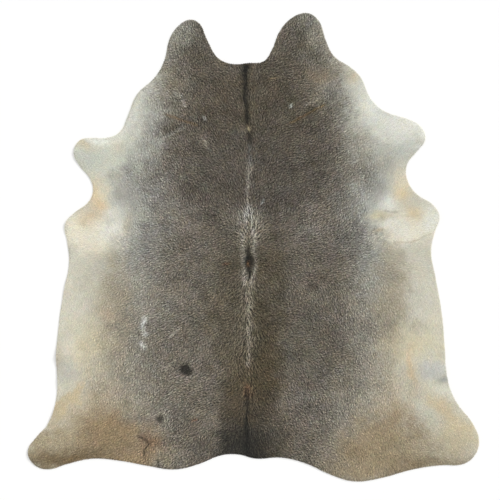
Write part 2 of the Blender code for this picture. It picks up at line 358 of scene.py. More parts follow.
# Lines and scars. width is how far to each side a line is at half strength, and taper the share of
# it that is left at the last point.
Stroke = namedtuple("Stroke", "name points width colour amount taper", defaults=(1,))
lines = (
    Stroke("nape line, shade", ((-34, 855), (-37, 700), (-29, 567)), 34, "umberGrey", 0.6),
    Stroke("nape line, top", ((-33, 862), (-33, 800)), 18, "charcoal", 0.6, 0.6),
    Stroke("nape line", ((-32, 862), (-34, 792), (-39, 700), (-32, 654), (-29, 567)), 12, "black", 0.95, 0.8),
    Stroke("nape dot, shade", ((-20, 562), (-17, 522)), 14, "umberDark", 0.6),
    Stroke("nape dot", ((-22, 550), (-21, 543)), 4, "apricot", 0.7),
    Stroke("nape line, end", ((-17, 520), (-16, 484)), 10, "blackBrown", 0.9),
    Stroke("blue line", ((-20, 470), (-20, 380)), 6, "blueGrey", 0.5),
    Stroke("withers line", ((-19, 375), (-24, 300), (-27, 160)), 10, "silver", 0.42, 0.7),
    Stroke("star, left blade", ((-26, 205), (-30, 150), (-36, 95)), 8, "frost", 0.18),
    Stroke("star, right blade", ((-10, 185), (-4, 130), (4, 60)), 9, "frost", 0.12),
    Stroke("star, middle", ((-21, 140), (-23, 90), (-22, 40)), 5, "umberGrey", 0.5),
    Stroke("star, left leg", ((-54, 60), (-48, 20), (-49, -30), (-50, -70), (-42, -115), (-36, -165)), 8,
           "silver", 0.55),
    Stroke("star, right leg", ((8, 60), (1, 15), (2, -30), (14, -60), (6, -110), (-4, -165)), 9,
           "silver", 0.57, 0.5),
    Stroke("parting", ((-15, -135), (-21, -330), (-22, -545)), 15, "parting", 0.5, 0.4),
    Stroke("parting, dark middle", ((-22, -160), (-22, -250)), 3, "umberGrey", 0.6),
    Stroke("spindle, upper", ((-21, -70), (-22, 12)), 20, "black", 1.0, 0.1),
    Stroke("spindle, lower", ((-21, -70), (-20, -165)), 20, "black", 1.0, 0.05),
    Stroke("spindle, middle", ((-24, -70), (-24, -84)), 6, "rustBrown", 0.6),
    Stroke("parting, warm", ((-30, -645), (-28, -675)), 14, "rust", 0.22),
    Stroke("tail line", ((-29, -662), (-31, -780), (-33, -990)), 5, "black", 0.9, 1.5),
    Stroke("left scar", ((-405, 612), (-345, 590), (-260, 562)), 4, "scarBrown", 0.7),
    Stroke("right scar", ((170, 572), (240, 608), (325, 655)), 4, "scarBrown", 0.7),
    Stroke("left shoulder scar", ((-415, 495), (-375, 525), (-320, 550)), 5, "silver", 0.65),
    Stroke("rust dot", ((-140, -80), (-118, -76)), 5, "rust", 0.35),
    Stroke("haunch crack", ((-526, -872), (-502, -880), (-480, -905), (-499, -937), (-506, -962)), 4,
           "black", 1.0, 0.6),
    Stroke("haunch crack, low", ((-443, -976), (-434, -1015)), 4, "black", 1.0),
    # painted shade: darker lines along the creases of the right elbow
    Stroke("right elbow, fold shade", ((603, 170), (622, 163), (655, 160)), 3, "umberGrey", 0.4),
    Stroke("right elbow, lower fold shade", ((655, 22), (720, 22), (770, 40), (815, 62)), 3, "beige", 0.5),
    Stroke("rump nick", ((-285, -800), (-260, -795)), 3, "rust", 0.6),
    Stroke("scuff", ((-502, -330), (-511, -360), (-498, -400)), 9, "chalk", 0.65),
    Stroke("scuff, low", ((-516, -444), (-506, -456)), 9, "chalk", 0.5),
    Stroke("loin scratch", ((-380, -410), (-338, -370)), 4, "silver", 0.5),
    Stroke("loin scratch, low", ((-412, -562), (-358, -518)), 4, "silver", 0.4),
    Stroke("neck nick", ((-230, 500), (-210, 460)), 4, "silver", 0.6),
    Stroke("withers nick", ((50, 220), (40, 205)), 3, "chalk", 0.6),
    Stroke("nape nick", ((75, 775), (120, 780)), 4, "haunch", 0.4),
    Stroke("left neck nick", ((-325, 675), (-320, 650)), 4, "silver", 0.6),
    Stroke("left neck dot", ((-228, 598), (-222, 592)), 5, "chalk", 0.45),
    Stroke("left cheek dot", ((-354, 704), (-340, 700)), 6, "silver", 0.8),
    Stroke("right neck dot", ((172, 654), (174, 646)), 4, "chalk", 0.7),
    Stroke("right neck, pale streak", ((245, 655), (310, 685)), 5, "silver", 0.35),
)

# Where the coat is restless: amount is how much stronger and longer its streaks are there
Streaky = namedtuple("Streaky", "name across along wide long amount")
restless = (
    Streaky("star", -18, 85, 80, 60, 2.8),
    Streaky("star, upper", -20, 175, 40, 60, 1.8),
    Streaky("parting", -22, -430, 40, 330, 1.6),
    Streaky("beside the parting", -20, -420, 130, 260, 0.9),
    Streaky("tail", -20, -880, 130, 90, 0.7),
)

blending = {
    "darkBase": "taupe",      # colour of the dark locks where no patch lies
    "paleBase": "cream",      # and of the pale ones
    "wander": 12,             # how far the edges of the patches wander, in mm
    "wanderCell": 70,         # and over what distance
    "fringe": 4,              # a finer wander on top
    "fringeCell": 14,
    "steadySize": 220,        # patches smaller than this, wide and long together, wander less
    "shake": 2.5,             # how unsteadily the lines are drawn
    "shakeCell": 18,
    "halfWay": 0.30,          # share of pale locks on the saddle's lines
    "rising": (-1.25, 0.4),   # where the share rises up to that, in widths out from the line
    "risingPower": 1.2,
    "filling": (-0.25, 1.5),  # and where the rest is filled
}


def softSpot(spot, x, y, crisp=1, turn=0):
    # 1 in the middle of a spot, a half at its size
    angle = math.radians(turn)
    dx, dy = x - spot.across * mm, y - spot.along * mm
    u = (dx * math.cos(angle) + dy * math.sin(angle)) / (spot.wide * mm)
    v = (dy * math.cos(angle) - dx * math.sin(angle)) / (spot.long * mm)
    return np.exp(-halfFade * (u * u + v * v) ** crisp)


def patchMask(patch, x, y, shift):
    # the edge of a small patch wanders less
    steady = min(1, (patch.wide + patch.long) / blending["steadySize"])
    x, y = x + shift[0] * steady, y + shift[1] * steady
    return patch.amount * softSpot(patch, x, y, patch.crisp, patch.turn)


def lineMask(line, x, y, taper=1):
    # 1 on the line, a half at its width
    mask = np.zeros(x.shape)
    for index, ((ax, ay), (bx, by)) in enumerate(zip(line.points, line.points[1:])):
        run = np.array([bx - ax, by - ay]) * mm
        fx, fy = x - ax * mm, y - ay * mm
        along = np.clip((fx * run[0] + fy * run[1]) / (run @ run), 0, 1)
        gap = np.hypot(fx - along * run[0], fy - along * run[1])
        width = line.width * mm * (1 + (taper - 1) * (index + along) / (len(line.points) - 1))
        mask = np.maximum(mask, np.exp(-halfFade * (gap / width) ** 2))
    return mask


def painted(colour, masks):
    # lays each colour of the list over what is there
    for name, mask in masks:
        colour = colour + (linear(*palette[name]) - colour) * mask[:, None]
    return colour


def paleShare(x, y):
    table = np.array(saddle, float)[::-1]
    column = {name: np.interp(y, table[:, 0] * mm, table[:, k] * mm) for k, name in enumerate(Turn._fields)}
    half = blending["halfWay"]
    share = np.zeros(x.shape)
    for outward, inside, outside in (
        (column["left"] - x, column["leftIn"], column["leftOut"]),
        (x - column["right"], column["rightIn"], column["rightOut"]),
    ):
        rising = half * smooth(*blending["rising"], outward / inside) ** blending["risingPower"]
        filling = (1 - half) * smooth(*blending["filling"], outward / outside)
        share = share + rising + filling
    return np.clip(share, 0, 1)


def coatTones(x, y):
    # the share of pale locks, the colours of the dark and pale ones, and the patches over both
    shift = [
        blending["wander"] * mm * mottle(x, y, blending["wanderCell"] * mm, seed)
        + blending["fringe"] * mm * softHills(x, y, blending["fringeCell"] * mm, seed + 5)
        for seed in (11, 21)
    ]

    def masked(patches):
        return ((patch.colour, patchMask(patch, x, y, shift)) for patch in patches)

    start = np.ones((len(x), 3))
    dark = painted(start * linear(*palette[blending["darkBase"]]), masked(darkHair))
    pale = painted(start * linear(*palette[blending["paleBase"]]), masked(paleHair))
    return paleShare(x + shift[0], y + shift[1]), dark, pale, list(masked(bothHairs))


def lined(colour, x, y):
    # the lines and scars, drawn a little unsteadily
    shaky = x + blending["shake"] * mm * softHills(x, y, blending["shakeCell"] * mm, seed=31)
    return painted(colour, [(s.colour, s.amount * lineMask(s, shaky, y, s.taper)) for s in lines])


# The hide's shape
#
# The outline and the rise of every fold are read from the solid, so that skin and coat lie where
# it does. The creases are finer than the solid's own folds.

form = {
    "weld": 0.01 * mm,     # points closer than this are one
    "downward": -0.5,      # a face looks down if its normal's height is under this
    "edgeStep": 6 * mm,    # from one point of the outline to the next
    "edgeEase": 8 * mm,    # how far its corners are rounded
    "easeSteps": 4,        # and over how many points each way
    "grid": 8 * mm,        # spacing of the maps of height and of distance to the edge
    "margin": 48 * mm,     # how far the maps reach past the hide
    "brush": (1, 4, 6, 4, 1),    # weights that ease the map of height, along and across
}

Crease = namedtuple("Crease", "name points width height")
creases = (
    Crease("left elbow", ((-860, 128), (-760, 134), (-640, 130)), 12, 1.6),
    Crease("left elbow, lower", ((-850, 92), (-770, 84), (-690, 88)), 10, 1.2),
    Crease("right elbow", ((850, 150), (760, 158), (640, 150), (600, 160)), 12, 1.6),
    Crease("right elbow, lower", ((830, 58), (780, 36), (720, 26)), 9, 1.4),
    Crease("right foreleg", ((770, 440), (715, 388), (680, 372)), 10, 1.2),
    Crease("right belly, first", ((880, -412), (780, -408), (675, -414)), 8, 1.5),
    Crease("right belly, second", ((880, -444), (800, -436), (700, -440)), 8, 1.3),
    Crease("right belly, third", ((880, -494), (820, -490), (760, -494)), 8, 1.5),
    Crease("right belly, fourth", ((880, -520), (820, -514), (770, -518)), 7, 1.3),
    Crease("right belly, lowest", ((895, -618), (850, -612), (800, -616)), 9, 1.8),
    Crease("left belly", ((-900, -500), (-830, -494), (-750, -502)), 10, 1.4),
    Crease("left belly, lower", ((-900, -570), (-840, -560), (-770, -566)), 9, 1.4),
    Crease("left flank", ((-870, -230), (-800, -224), (-730, -230)), 9, 1.0),
)


def undersideOf(solid):
    # the faces that look down, as a tree to measure on, and the loop of points around them
    shell = bmesh.new()
    shell.from_mesh(solid.data)
    bmesh.ops.remove_doubles(shell, verts=shell.verts, dist=form["weld"])
    shell.normal_update()
    shell.verts.index_update()
    shell.verts.ensure_lookup_table()
    below = [face for face in shell.faces if face.normal.z < form["downward"]]
    tree = BVHTree.FromPolygons([v.co for v in shell.verts], [[v.index for v in f.verts] for f in below])
    chosen = set(below)
    following = {}
    for face in below:
        for loop in face.loops:
            if not all(other in chosen for other in loop.edge.link_faces):
                following[loop.vert.index] = loop.link_loop_next.vert.index
    walk = [min(following)]
    while following[walk[-1]] != walk[0]:
        walk.append(following[walk[-1]])
    rim = np.array([shell.verts[index].co.xy for index in reversed(walk)])
    shell.free()
    return tree, rim


def easedOutline(rim):
    # even steps along the solid's edge, with its corners rounded a little
    closed = np.vstack([rim, rim[:1]])
    walked = np.concatenate([[0], np.cumsum(np.hypot(*np.diff(closed, axis=0).T))])
    count = int(walked[-1] / form["edgeStep"])
    places = np.linspace(0, walked[-1], count, endpoint=False)
    points = np.column_stack([np.interp(places, walked, closed[:, axis]) for axis in (0, 1)])
    reach = range(-form["easeSteps"], form["easeSteps"] + 1)
    weights = np.exp(-0.5 * (np.array(reach) * form["edgeStep"] / form["edgeEase"]) ** 2)
    weights /= weights.sum()
    return sum(weight * np.roll(points, shift, axis=0) for weight, shift in zip(weights, reach))


def edgeDistance(columns, rows, outline):
    # how far inside the outline each corner of a grid is, in metres, and below zero outside it
    start, end = outline, np.roll(outline, -1, axis=0)
    run = end - start
    square = (run ** 2).sum(axis=1)
    climb = np.where(run[:, 1] == 0, 1, run[:, 1])
    found = []
    for y in rows:
        fx, fy = columns[:, None] - start[:, 0], y - start[:, 1]
        along = np.clip((fx * run[:, 0] + fy * run[:, 1]) / square, 0, 1)
        gap = np.hypot(fx - along * run[:, 0], fy - along * run[:, 1]).min(axis=1)
        crossed = (start[:, 1] > y) != (end[:, 1] > y)
        right = start[:, 0] + fy / climb * run[:, 0] > columns[:, None]
        inside = (crossed & right).sum(axis=1) % 2 == 1
        found.append(np.where(inside, gap, -gap))
    return np.array(found)


def riseOver(columns, rows, tree):
    # the height of the solid's underside, eased so that its flat facets don't show
    found = np.zeros((len(rows), len(columns)))
    for j, y in enumerate(rows):
        for i, x in enumerate(columns):
            place = tree.ray_cast(Vector((x, y, 1)), Vector((0, 0, -1)))[0]
            if place is None:
                place = tree.find_nearest(Vector((x, y, 0)))[0]
            found[j, i] = place.z
    brush = np.array(form["brush"]) / sum(form["brush"])

    def eased(line):
        return np.convolve(np.pad(line, len(brush) // 2, "edge"), brush, "valid")

    for axis in (0, 1):
        found = np.apply_along_axis(eased, axis, found)
    return found


def sampled(grid, x, y):
    # a map's value anywhere, between its corners and just short of the last ones
    u = np.clip((x - columns[0]) / form["grid"], 0, grid.shape[1] - 1.001)
    v = np.clip((y - rows[0]) / form["grid"], 0, grid.shape[0] - 1.001)
    i, j = u.astype(int), v.astype(int)
    return between(grid.T, i, j, u - i, v - j)


def inward(x, y):
    # how far inside the outline a point is, and below zero outside it
    return sampled(distanceMap, x, y)


def lift(x, y):
    # how high the skin's underside lies over the floor
    height = sampled(riseMap, x, y)
    for crease in creases:
        height = height + crease.height * mm * lineMask(crease, x, y)
    return height


underside, rim = undersideOf(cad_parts["hide"])
outline = easedOutline(rim)
columns = np.arange(cadLow[0] - form["margin"], cadHigh[0] + form["margin"], form["grid"])
rows = np.arange(cadLow[1] - form["margin"], cadHigh[1] + form["margin"], form["grid"])
distanceMap = edgeDistance(columns, rows, outline)
riseMap = riseOver(columns, rows, underside)
ahead = np.roll(outline, -1, axis=0)
hideArea = abs((outline[:, 0] * ahead[:, 1] - ahead[:, 0] * outline[:, 1]).sum()) / 2
print(f"outline of {len(outline)} points, {hideArea:.2f} square metres, rises {riseMap.max() / mm:.1f} mm")


# Shader nodes

noiseRange = (0.3, 0.7)    # a noise is nearly always between these


def feed(tree, socket, value):
    # a socket takes another node's output or a plain value
    if isinstance(value, bpy.types.NodeSocket):
        tree.links.new(value, socket)
    else:
        socket.default_value = value


def addNode(tree, kind, sockets=None, **options):
    # options are the node's own settings, sockets the values or outputs that feed it
    node = tree.nodes.new("ShaderNode" + kind)
    for name, value in options.items():
        setattr(node, name, value)
    for name, value in (sockets or {}).items():
        feed(tree, node.inputs[name], value)
    return node


def maths(tree, operation, first, second=0.0):
    return addNode(tree, "Math", {0: first, 1: second}, operation=operation).outputs[0]


def ranged(tree, value, fromLow, fromHigh, toLow, toHigh):
    sockets = {"Value": value, "From Min": fromLow, "From Max": fromHigh, "To Min": toLow, "To Max": toHigh}
    return addNode(tree, "MapRange", sockets).outputs["Result"]


def blended(tree, factor, first, second):
    node = addNode(tree, "Mix", {"Factor": factor}, data_type="RGBA")
    for name, value in (("A_Color", first), ("B_Color", second)):
        feed(tree, next(entry for entry in node.inputs if entry.identifier == name), value)
    return next(entry for entry in node.outputs if entry.identifier == "Result_Color")


def noise(tree, place, scale, detail, roughness=0.5):
    sockets = {"Vector": place, "Scale": scale, "Detail": detail, "Roughness": roughness}
    return addNode(tree, "TexNoise", sockets).outputs["Fac"]


def perMetre(tree, size):
    # a noise's scale for grain of a size in mm
    return maths(tree, "DIVIDE", 1000.0, size)


def toned(tree, grain, depth):
    # a noise as a brightness, 1 give or take the depth
    low, high = maths(tree, "SUBTRACT", 1.0, depth), maths(tree, "ADD", 1.0, depth)
    return ranged(tree, grain, *noiseRange, low, high)


def newGroup(name, inputs, outputs):
    tree = bpy.data.node_groups.new(name, "ShaderNodeTree")
    for label, kind, value in inputs:
        socket = tree.interface.new_socket(label, in_out="INPUT", socket_type="NodeSocket" + kind)
        if value is not None:
            socket.default_value = value
    for label, kind in outputs:
        tree.interface.new_socket(label, in_out="OUTPUT", socket_type="NodeSocket" + kind)
    return tree, tree.nodes.new("NodeGroupInput").outputs, tree.nodes.new("NodeGroupOutput").inputs


def useGroup(tree, group, sockets):
    return addNode(tree, "Group", sockets, node_tree=group).outputs


def newMaterial(name, roughness, specular):
    material = bpy.data.materials.new(name)
    material.use_nodes = True
    tree = material.node_tree
    shader = tree.nodes["Principled BSDF"]
    shader.inputs["Roughness"].default_value = roughness
    shader.inputs["Specular IOR Level"].default_value = specular
    return material, tree, shader


def surfaced(tree, shader, finish, colour, tone, height, relief=None):
    # the colour times a tone, the roughness by the height of the grain, and a bump
    shaded = addNode(tree, "VectorMath", {0: colour, "Scale": tone}, operation="SCALE")
    tree.links.new(shaded.outputs[0], shader.inputs["Base Color"])
    tree.links.new(ranged(tree, height, *noiseRange, *finish["roughness"]), shader.inputs["Roughness"])
    bump = {"Height": relief or height, "Strength": finish["bump"], "Distance": finish["bumpDepth"]}
    tree.links.new(addNode(tree, "Bump", bump).outputs[0], shader.inputs["Normal"])


# Salt and pepper: fine flecks that make single hairs lighter or darker
flecks, given, result = newGroup(
    "flecks",
    [("Place", "Vector", None), ("Size", "Float", 2.0), ("Depth", "Float", 0.2)],
    [("Tone", "Float"), ("Height", "Float")],
)
fine = noise(flecks, given["Place"], perMetre(flecks, given["Size"]), detail=3.0, roughness=0.6)
flecks.links.new(toned(flecks, fine, given["Depth"]), result["Tone"])
flecks.links.new(fine, result["Height"])

# The single hairs inside a lock, dark at the root and light at the tip: partly the hair's own colour, partly
# painted shade at the root under the locks over it and painted light on the tip. Lock says how far a point
# lies across the lock, how far along it, and which lock it is. Root Share is how much of it is root.
strands, given, result = newGroup(
    "strands in a lock",
    [("Lock", "Vector", None), ("Hairs", "Float", 3.0), ("Along", "Float", 1.5), ("Unlike", "Float", 90.0),
     ("Root", "Float", 0.9), ("Tip", "Float", 1.1), ("Root Share", "Float", 0.4), ("Depth", "Float", 0.2)],
    [("Tone", "Float"), ("Height", "Float")],
)
lockPlace = addNode(strands, "SeparateXYZ", {0: given["Lock"]}).outputs
hairPlace = addNode(strands, "CombineXYZ", {
    "X": maths(strands, "MULTIPLY", lockPlace["X"], given["Hairs"]),
    "Y": maths(strands, "MULTIPLY", lockPlace["Y"], given["Along"]),
    "Z": maths(strands, "MULTIPLY", lockPlace["Z"], given["Unlike"]),
}).outputs[0]
hairs = noise(strands, hairPlace, 1.0, detail=1.0)
rootShade = ranged(strands, lockPlace["Y"], 0.0, given["Root Share"], given["Root"], 1.0)
tipShade = ranged(strands, lockPlace["Y"], given["Root Share"], 1.0, 1.0, given["Tip"])
shade = maths(strands, "MULTIPLY", rootShade, tipShade)
tone = maths(strands, "MULTIPLY", toned(strands, hairs, given["Depth"]), shade)
strands.links.new(tone, result["Tone"])
strands.links.new(hairs, result["Height"])

# Tanned flesh side: short nap, pores and slow blotches
suede, given, result = newGroup(
    "suede",
    [("Place", "Vector", None), ("Nap", "Float", 1.2), ("Blotch", "Float", 60.0), ("Depth", "Float", 0.1)],
    [("Tone", "Float"), ("Blotches", "Float"), ("Height", "Float")],
)
nap = noise(suede, given["Place"], perMetre(suede, given["Nap"]), detail=4.0, roughness=0.65)
blotches = noise(suede, given["Place"], perMetre(suede, given["Blotch"]), detail=5.0, roughness=0.6)
suede.links.new(toned(suede, nap, given["Depth"]), result["Tone"])
suede.links.new(blotches, result["Blotches"])
suede.links.new(nap, result["Height"])


# Skin: one thin sheet, its flesh side down, its edge cut clean

skinFacts = {
    "thickness": 2.5 * mm,
    "inset": 3 * mm,         # the coat hangs this far over the cut edge
    "cell": 12 * mm,
    "rowStep": 0.866,        # from one row of cells to the next, in cells
    "weld": 1e-7,            # points closer than this, in metres, are one
    # painted shade: the skin between the locks is darker, as the locks over it shade it
    "shadeBetweenLocks": 0.80,          # how dark the skin shows between the locks
    "suede": (207, 194, 170),
    "suedeDark": (182, 160, 128),
    "vein": (168, 146, 118),
    "cutEdge": (196, 176, 146),
    "sheen": 0.25,           # of the suede's nap
    "sheenRoughness": 0.6,
    "veinScale": 3.2,        # winding veins that come and go under the nap
    "veinWidth": 0.009,
    "veinDepth": 0.6,
    "veinAreas": (2.1, 0.46, 0.6, 0.4),    # scale, where they start and end to show, and how strongly
    # the grain of each side, its sizes in mm, then where its blotches start and end with how strong
    # they are there, then how rough it is in the dips and on the tops, and its bump
    "roots": {"Size": 3.0, "Depth": 0.25},
    "rootsFinish": {"roughness": (0.78, 0.92), "bump": 0.5, "bumpDepth": 0.6 * mm},
    "flesh": {"Nap": 1.6, "Blotch": 110.0, "Depth": 0.09},
    "fleshBlotches": (0.42, 0.72, 0.0, 0.8),
    "fleshFinish": {"roughness": (0.86, 0.98), "bump": 0.6, "bumpDepth": 0.5 * mm},
    "edge": {"Nap": 0.8, "Blotch": 18.0, "Depth": 0.14},
    "edgeBlotches": (0.4, 0.7, 0.0, 0.7),
    "edgeFinish": {"roughness": (0.8, 0.95), "bump": 0.5, "bumpDepth": 0.3 * mm},
}


def rootsMaterial():
    # the skin's upper side, seen only between the locks
    material, tree, shader = newMaterial("coat roots", roughness=0.85, specular=0.2)
    place = addNode(tree, "TexCoord").outputs["Object"]
    grain = useGroup(tree, flecks, {"Place": place, **skinFacts["roots"]})
    colour = addNode(tree, "Attribute", attribute_name="coatColour").outputs["Color"]
    # painted shade between the locks
    dim = maths(tree, "MULTIPLY", grain["Tone"], skinFacts["shadeBetweenLocks"])
    surfaced(tree, shader, skinFacts["rootsFinish"], colour, dim, grain["Height"])
    return material


def suedeMaterial():
    material, tree, shader = newMaterial("suede flesh side", roughness=0.92, specular=0.15)
    shader.inputs["Sheen Weight"].default_value = skinFacts["sheen"]
    shader.inputs["Sheen Roughness"].default_value = skinFacts["sheenRoughness"]
    place = addNode(tree, "TexCoord").outputs["Object"]
    grain = useGroup(tree, suede, {"Place": place, **skinFacts["flesh"]})
    dark = ranged(tree, grain["Blotches"], *skinFacts["fleshBlotches"])
    colour = blended(tree, dark, opaque(skinFacts["suede"]), opaque(skinFacts["suedeDark"]))
    # a vein runs where a slow noise crosses its middle
    winding = noise(tree, place, skinFacts["veinScale"], detail=2.5, roughness=0.55)
    offLine = maths(tree, "ABSOLUTE", maths(tree, "SUBTRACT", winding, 0.5))
    scale, hidden, shown, strength = skinFacts["veinAreas"]
    showing = ranged(tree, noise(tree, place, scale, detail=1.0), hidden, shown, 0.0, strength)
    vein = maths(tree, "MULTIPLY", ranged(tree, offLine, 0.0, skinFacts["veinWidth"], 1.0, 0.0), showing)
    colour = blended(tree, vein, colour, opaque(skinFacts["vein"]))
    sunk = maths(tree, "MULTIPLY", vein, skinFacts["veinDepth"])
    relief = maths(tree, "SUBTRACT", grain["Height"], sunk)
    surfaced(tree, shader, skinFacts["fleshFinish"], colour, grain["Tone"], grain["Height"], relief)
    return material


def cutEdgeMaterial():
    material, tree, shader = newMaterial("cut edge", roughness=0.88, specular=0.2)
    place = addNode(tree, "TexCoord").outputs["Object"]
    grain = useGroup(tree, suede, {"Place": place, **skinFacts["edge"]})
    dark = ranged(tree, grain["Blotches"], *skinFacts["edgeBlotches"])
    colour = blended(tree, dark, opaque(skinFacts["cutEdge"]), opaque(skinFacts["vein"]))
    surfaced(tree, shader, skinFacts["edgeFinish"], colour, grain["Tone"], grain["Height"])
    return material


def staggered(step, rowStep):
    # points over the whole hide's box, every other row shifted by half a step
    ranges = np.arange(cadLow[0], cadHigh[0], step), np.arange(cadLow[1], cadHigh[1], rowStep)
    across, along = np.meshgrid(*ranges)
    across[1::2] += step / 2
    return across.ravel(), along.ravel()


def makeSkin():
    tangent = np.roll(outline, -1, axis=0) - np.roll(outline, 1, axis=0)
    tangent /= np.hypot(*tangent.T)[:, None]
    edge = outline - np.column_stack([tangent[:, 1], -tangent[:, 0]]) * skinFacts["inset"]
    cell = skinFacts["cell"]
    inner = np.column_stack(staggered(cell, cell * skinFacts["rowStep"]))
    inner = inner[inward(inner[:, 0], inner[:, 1]) > skinFacts["inset"] + cell / 2]
    flat = [Vector(point) for point in np.vstack([edge, inner])]
    insideOnly = 1
    flat, _, faces, *_ = delaunay_2d_cdt(flat, [], [list(range(len(edge)))], insideOnly, skinFacts["weld"])
    place = np.array([point[:] for point in flat])
    height = np.maximum(lift(place[:, 0], place[:, 1]), 0)

    mesh = bpy.data.meshes.new("skin")
    mesh.from_pydata(np.column_stack([place, height]).tolist(), [], faces)
    mesh.update()
    if sum(face.normal.z for face in mesh.polygons) < 0:
        mesh.flip_normals()
    share, dark, pale, over = coatTones(place[:, 0], place[:, 1])
    colour = painted(dark + (pale - dark) * share[:, None], over)
    layer = mesh.attributes.new("coatColour", "FLOAT_COLOR", "POINT")
    rgba = np.column_stack([colour, np.ones(len(colour))])
    layer.data.foreach_set("color", rgba.astype(np.float32).ravel())
    for material in (rootsMaterial(), suedeMaterial(), cutEdgeMaterial()):
        mesh.materials.append(material)
    mesh.shade_smooth()
    skin = bpy.data.objects.new("skin", mesh)
    bpy.context.scene.collection.objects.link(skin)
    thicken = skin.modifiers.new("thickness", "SOLIDIFY")
    thicken.thickness = skinFacts["thickness"]
    thicken.offset = 1
    thicken.material_offset = 1
    thicken.material_offset_rim = 2
    return skin


skin = makeSkin()
print("skin done,", len(skin.data.polygons), "faces a side")


# Coat: hundreds of thousands of locks of short hair, lying the way it grows

coat = {
    "locks": 860000,
    "bands": 5,                # pieces across the hide, from the rump to the cheeks
    "seed": 5,
    "jitter": 0.45,            # how far a root is off its place in the grid, in steps
    "length": 9.5 * mm,
    "width": 1.9 * mm,         # of a lock at its root, and its tip is a point
    "uneven": 0.22,            # spread of both
    "unevenRange": (0.5, 1.6),
    "rise": 1.5 * mm,          # of a tip over the skin
    "riseUneven": 0.3,
    "riseRange": (0.4, 1.8),
    "bury": 0.2 * mm,          # of a root in the skin
    "roll": 0.25 * mm,         # one side of a lock over the other
    "stray": 21,               # degrees off the way the coat lies
    "swirl": 12,               # the same, slowly from place to place
    "swirlCell": 80 * mm,
    "bend": 9,                 # a tip off its own lock
    "spineLonger": 0.3,        # longer on the spine and tail
    "limbsShorter": 0.35,      # and shorter on legs and cheeks
    "whorlShorter": 0.5,       # and in the whorl
    "spineReach": 60 * mm,
    "whorlReach": (45 * mm, 70 * mm),
    "edgeGap": 1 * mm,         # roots stay this far inside the edge
    "overhang": 1.5 * mm,      # and tips reach about this far past it
    "overhangRange": (0.3, 1.4),
    "cutShort": 0.2,           # the shortest that the edge makes a lock
    "droop": 2.5 * mm,         # how far tips hang down past the cut edge
    "droopEnd": 2 * mm,        # all of it that far outside the outline
    # lighter and darker hair: dashes of it, each of three steps, and longer ones where the coat is restless
    "streakWide": 5.0 * mm,
    "streakStep": 2.2 * mm,
    "longWide": 6 * mm,
    "longStep": 7 * mm,
    "cloudCell": 45 * mm,
    "streak": 0.6,             # strength of the dashes
    "single": 0.6,             # from lock to lock
    "cloud": 0.14,             # slow clouds
    "long": 0.6,               # and the long dashes
    "darkContrast": 0.77,      # lighter and darker locks on the back
    "paleContrast": 0.055,     # and on belly and legs
    "shares": (0, 0.15, 0.65, 0.85, 1),    # of pale locks at a place,
    "fading": (0, 0.36, 0.80, 0.97, 1),    # and how far the contrast has gone from one to the other
    "brownFading": 0.68,       # the same on the haunches
    "brownHills": 0.05,        # their own soft unevenness
    "brownCell": 14 * mm,
    "mix": 0.08,               # how far dark and pale locks part where they mix
    "mixStreak": 0.6,          # by the dashes
    "mixSingle": 0.4,          # and from lock to lock
    "bright": 1.25,            # all locks, over the colours of the tables
    "gainRange": (0.3, 1.8),   # limits of their contrast, before it is squared
    "brightest": 0.95,         # and of their colours
    # the roots darker: partly the hair's own colour, partly painted shade under the locks lying over them
    "darkRoot": 0.66,          # how dark a lock is at its root, on the back
    "paleRoot": 0.92,          # and on belly and legs
    # warmer and cooler, greener and redder hair: small cells, single locks and slow clouds
    "tint": 0.02,
    "tintCell": 11 * mm,
    "paleTint": 0.5,           # share that is lost on belly and legs
    "warmer": (0.6, 0, -1),    # what it adds to red, green and blue
    "warmSingle": 0.6,
    "warmCloud": 0.8,
    "warmCloudCell": 60 * mm,
    "greener": (-0.5, 0.5, -0.5),
    "greenCloud": 0.5,
    "greenCloudCell": 45 * mm,
    # the material's own hairs and flecks; Root and Tip make each lock darker at the root and lighter at the
    # tip, partly the hair's own colour and partly painted shade and painted light
    "hairs": {"Hairs": 2.5, "Root": 0.9, "Tip": 1.08, "Depth": 0.12},
    "flecks": {"Size": 2.2, "Depth": 0.12},
    "sheen": 0.05,
    "sheenRoughness": 0.45,
    "finish": {"roughness": (0.46, 0.64), "bump": 0.35, "bumpDepth": 0.3 * mm},
    "mapReach": (0.08, 0.78),    # of a lock in its square of the map for baked textures
}

# Which way the hair lies on the limbs: middle, reach and direction, to the right and forward
Lay = namedtuple("Lay", "name across along wide long right forward")
lays = (
    Lay("left foreleg", -740, 420, 110, 110, -1.0, 0.25),
    Lay("right foreleg", 700, 520, 120, 110, 1.0, 0.3),
    Lay("left elbow", -780, 80, 90, 90, -1.0, -0.1),
    Lay("right elbow", 780, 110, 90, 100, 1.0, -0.1),
    Lay("left hind leg", -880, -900, 200, 130, -0.8, -0.6),
    Lay("right hind leg", 890, -880, 190, 150, 0.8, -0.6),
    Lay("left cheek", -290, 960, 110, 120, -0.3, 1.0),
    Lay("right cheek", 250, 980, 130, 140, 0.3, 1.0),
)
whorl = {
    "across": -20 * mm,
    "along": -41 * mm,
    "parting": 25 * mm,      # how soon the hair turns to each side of the spine
    "turnOver": 120 * mm,    # and from forward to backward
    "sideways": 1.3,         # strongest turn to the sides,
    "spread": 200 * mm,      # at this distance from the spine
    "fan": 0.8,              # more of it level with the whorl,
    "fanReach": 90 * mm,     # and how far forward and backward of it
    "limbs": 1.2,            # strength of the way that the hair lies on the limbs
}
dashSpan = 3.8          # the ground that the cells of the dashes cover, in metres
askew = (0.88, 0.47)    # they lie askew, so that no row of them runs straight along the hide
besides = 0.25          # how far a cell is unlike the ones beside it


